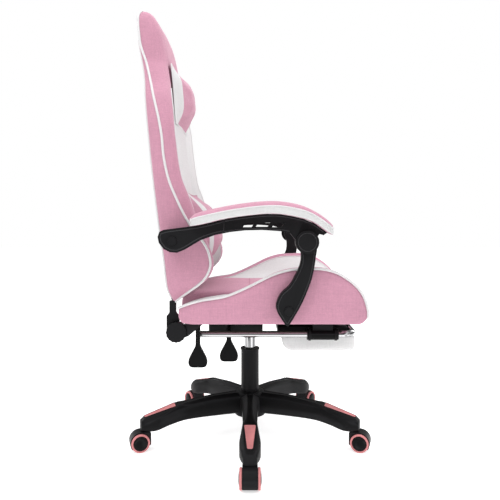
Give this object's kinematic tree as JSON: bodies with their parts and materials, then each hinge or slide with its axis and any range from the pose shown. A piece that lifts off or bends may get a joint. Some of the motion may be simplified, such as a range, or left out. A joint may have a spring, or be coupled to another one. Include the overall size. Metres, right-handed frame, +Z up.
{
  "type": "gaming chair",
  "caption": "High-backed gaming chair with bucket seat, reclining back, linked armrests, two pillows, fold-out footrest and a five-star base on twin-wheel casters.",
  "frame": {"origin": "on the floor, under the axis of the gas column", "axes": "+Z up, +X the way the sitter faces, +Y the sitter's left; the levers are on the sitter's right, at -Y"},
  "size_m": [0.6934, 0.7084, 1.2426],
  "materials": {
    "black_nylon": "satin",
    "black_steel": "satin",
    "chrome": "polished",
    "salmon_plastic": "satin",
    "pink_fabric": "matte",
    "white_fabric": "matte",
    "plywood": "matte",
    "wheel_plastic": "satin"
  },
  "bodies": {
    "base": {"star_base": "black_nylon", "leg_insert_1": "salmon_plastic", "leg_insert_2": "salmon_plastic", "leg_insert_3": "salmon_plastic", "leg_insert_4": "salmon_plastic", "leg_insert_5": "salmon_plastic", "column_tube": "black_steel", "guide_bush": "black_nylon"},
    "gas_rod": {"gas_rod": "chrome"},
    "seat": {"gas_cylinder": "chrome", "mechanism_housing": "black_steel", "seat_board": "plywood", "seat_cushion": "pink_fabric", "seat_bolster_left": "pink_fabric", "seat_bolster_right": "pink_fabric", "recline_adjuster_left": "black_steel", "recline_adjuster_right": "black_steel", "recline_shaft": "black_steel", "slide_sleeve_left": "black_nylon", "slide_sleeve_right": "black_nylon", "link_bolt_left": "black_steel", "link_bolt_right": "black_steel"},
    "back": {"back_cushion": "pink_fabric", "back_neck": "pink_fabric", "headrest": "pink_fabric", "back_wing_left": "pink_fabric", "back_wing_right": "pink_fabric", "back_hinge_left": "black_steel", "back_hinge_right": "black_steel", "arm_bolt_left": "black_steel", "arm_bolt_right": "black_steel"},
    "head_pillow": {"head_pillow": "pink_fabric"},
    "lumbar_pillow": {"lumbar_pillow": "pink_fabric"},
    "arm_left": {"arm_bracket_left": "black_nylon", "arm_pad_left": "pink_fabric"},
    "arm_right": {"arm_bracket_right": "black_nylon", "arm_pad_right": "pink_fabric"},
    "link_left": {"arm_link_left": "black_nylon"},
    "link_right": {"arm_link_right": "black_nylon"},
    "height_lever": {"height_lever": "black_nylon"},
    "recline_lever": {"recline_lever": "black_nylon"},
    "footrest_frame": {"footrest_rail": "chrome"},
    "footrest": {"footrest_board": "black_nylon", "footrest_pad": "white_fabric"},
    "caster_1": {"caster_hood_1": "black_nylon"},
    "caster_2": {"caster_hood_2": "black_nylon"},
    "caster_3": {"caster_hood_3": "black_nylon"},
    "caster_4": {"caster_hood_4": "black_nylon"},
    "caster_5": {"caster_hood_5": "black_nylon"},
    "wheel_1_right": {"caster_wheel_1_right": "wheel_plastic"},
    "wheel_1_left": {"caster_wheel_1_left": "wheel_plastic"},
    "wheel_2_right": {"caster_wheel_2_right": "wheel_plastic"},
    "wheel_2_left": {"caster_wheel_2_left": "wheel_plastic"},
    "wheel_3_right": {"caster_wheel_3_right": "wheel_plastic"},
    "wheel_3_left": {"caster_wheel_3_left": "wheel_plastic"},
    "wheel_4_right": {"caster_wheel_4_right": "wheel_plastic"},
    "wheel_4_left": {"caster_wheel_4_left": "wheel_plastic"},
    "wheel_5_right": {"caster_wheel_5_right": "wheel_plastic"},
    "wheel_5_left": {"caster_wheel_5_left": "wheel_plastic"}
  },
  "joints": [
    {"name": "seat_swivel", "type": "hinge", "parent": "base", "child": "gas_rod", "pos_m": [0, 0, 0.2], "axis": [0, 0, 1], "continuous": true},
    {"name": "gas_lift", "type": "slide", "parent": "gas_rod", "child": "seat", "axis": [0, 0, 1], "range_m": [-0.05, 0.04]},
    {"name": "back_recline", "type": "hinge", "parent": "seat", "child": "back", "pos_m": [-0.1926, 0, 0.3627], "axis": [0, -1, 0], "range_deg": [0, 36]},
    {"name": "head_pillow_slide", "type": "slide", "parent": "back", "child": "head_pillow", "axis": [-0.0802, 0, 0.9968], "range_m": [-0.025, 0.03]},
    {"name": "lumbar_pillow_slide", "type": "slide", "parent": "back", "child": "lumbar_pillow", "axis": [-0.1357, 0, 0.9907], "range_m": [0, 0.05]},
    {"name": "arm_left_pivot", "type": "hinge", "parent": "back", "child": "arm_left", "pos_m": [-0.193, 0.2885, 0.605], "axis": [0, -1, 0], "range_deg": [-33, 0]},
    {"name": "link_left_pivot", "type": "hinge", "parent": "seat", "child": "link_left", "pos_m": [0.098, 0.275, 0.4265], "axis": [0, -1, 0], "range_deg": [0, 48]},
    {"name": "arm_right_pivot", "type": "hinge", "parent": "back", "child": "arm_right", "pos_m": [-0.193, -0.2885, 0.605], "axis": [0, -1, 0], "range_deg": [-33, 0]},
    {"name": "link_right_pivot", "type": "hinge", "parent": "seat", "child": "link_right", "pos_m": [0.098, -0.275, 0.4265], "axis": [0, -1, 0], "range_deg": [0, 48]},
    {"name": "height_lever_pull", "type": "hinge", "parent": "seat", "child": "height_lever", "pos_m": [-0.0586, -0.08, 0.352], "axis": [-1, 0, 0], "range_deg": [0, 12], "stiffness_Nm_per_rad": 1},
    {"name": "recline_lever_pull", "type": "hinge", "parent": "seat", "child": "recline_lever", "pos_m": [-0.139, -0.2, 0.3705], "axis": [-1, 0, 0], "range_deg": [0, 12], "stiffness_Nm_per_rad": 1},
    {"name": "footrest_slide", "type": "slide", "parent": "seat", "child": "footrest_frame", "axis": [1, 0, 0], "range_m": [0, 0.26]},
    {"name": "footrest_flip", "type": "hinge", "parent": "footrest_frame", "child": "footrest", "pos_m": [0.284, 0, 0.344], "axis": [0, -1, 0], "range_deg": [0, 180]},
    {"name": "caster_1_swivel", "type": "hinge", "parent": "base", "child": "caster_1", "pos_m": [0, -0.31, 0.05], "axis": [0, 0, 1], "continuous": true},
    {"name": "wheel_1_right_spin", "type": "hinge", "parent": "caster_1", "child": "wheel_1_right", "pos_m": [0, -0.33, 0.026], "axis": [1, 0, 0], "continuous": true},
    {"name": "wheel_1_left_spin", "type": "hinge", "parent": "caster_1", "child": "wheel_1_left", "pos_m": [0, -0.33, 0.026], "axis": [1, 0, 0], "continuous": true},
    {"name": "caster_2_swivel", "type": "hinge", "parent": "base", "child": "caster_2", "pos_m": [0.29483, -0.0958, 0.05], "axis": [0, 0, 1], "continuous": true},
    {"name": "wheel_2_right_spin", "type": "hinge", "parent": "caster_2", "child": "wheel_2_right", "pos_m": [0.31385, -0.10198, 0.026], "axis": [0.309, 0.9511, 0], "continuous": true},
    {"name": "wheel_2_left_spin", "type": "hinge", "parent": "caster_2", "child": "wheel_2_left", "pos_m": [0.31385, -0.10198, 0.026], "axis": [0.309, 0.9511, 0], "continuous": true},
    {"name": "caster_3_swivel", "type": "hinge", "parent": "base", "child": "caster_3", "pos_m": [0.18221, 0.25079, 0.05], "axis": [0, 0, 1], "continuous": true},
    {"name": "wheel_3_right_spin", "type": "hinge", "parent": "caster_3", "child": "wheel_3_right", "pos_m": [0.19397, 0.26698, 0.026], "axis": [-0.809, 0.5878, 0], "continuous": true},
    {"name": "wheel_3_left_spin", "type": "hinge", "parent": "caster_3", "child": "wheel_3_left", "pos_m": [0.19397, 0.26698, 0.026], "axis": [-0.809, 0.5878, 0], "continuous": true},
    {"name": "caster_4_swivel", "type": "hinge", "parent": "base", "child": "caster_4", "pos_m": [-0.18221, 0.25079, 0.05], "axis": [0, 0, 1], "continuous": true},
    {"name": "wheel_4_right_spin", "type": "hinge", "parent": "caster_4", "child": "wheel_4_right", "pos_m": [-0.19397, 0.26698, 0.026], "axis": [-0.809, -0.5878, 0], "continuous": true},
    {"name": "wheel_4_left_spin", "type": "hinge", "parent": "caster_4", "child": "wheel_4_left", "pos_m": [-0.19397, 0.26698, 0.026], "axis": [-0.809, -0.5878, 0], "continuous": true},
    {"name": "caster_5_swivel", "type": "hinge", "parent": "base", "child": "caster_5", "pos_m": [-0.29483, -0.0958, 0.05], "axis": [0, 0, 1], "continuous": true},
    {"name": "wheel_5_right_spin", "type": "hinge", "parent": "caster_5", "child": "wheel_5_right", "pos_m": [-0.31385, -0.10198, 0.026], "axis": [0.309, -0.9511, 0], "continuous": true},
    {"name": "wheel_5_left_spin", "type": "hinge", "parent": "caster_5", "child": "wheel_5_left", "pos_m": [-0.31385, -0.10198, 0.026], "axis": [0.309, -0.9511, 0], "continuous": true}
  ],
  "couplings": [
    {"joint": "arm_left_pivot", "follows": "back_recline", "ratio": -0.893},
    {"joint": "link_left_pivot", "follows": "back_recline", "ratio": 1.3114},
    {"joint": "arm_right_pivot", "follows": "back_recline", "ratio": -0.893},
    {"joint": "link_right_pivot", "follows": "back_recline", "ratio": 1.3114}
  ]
}
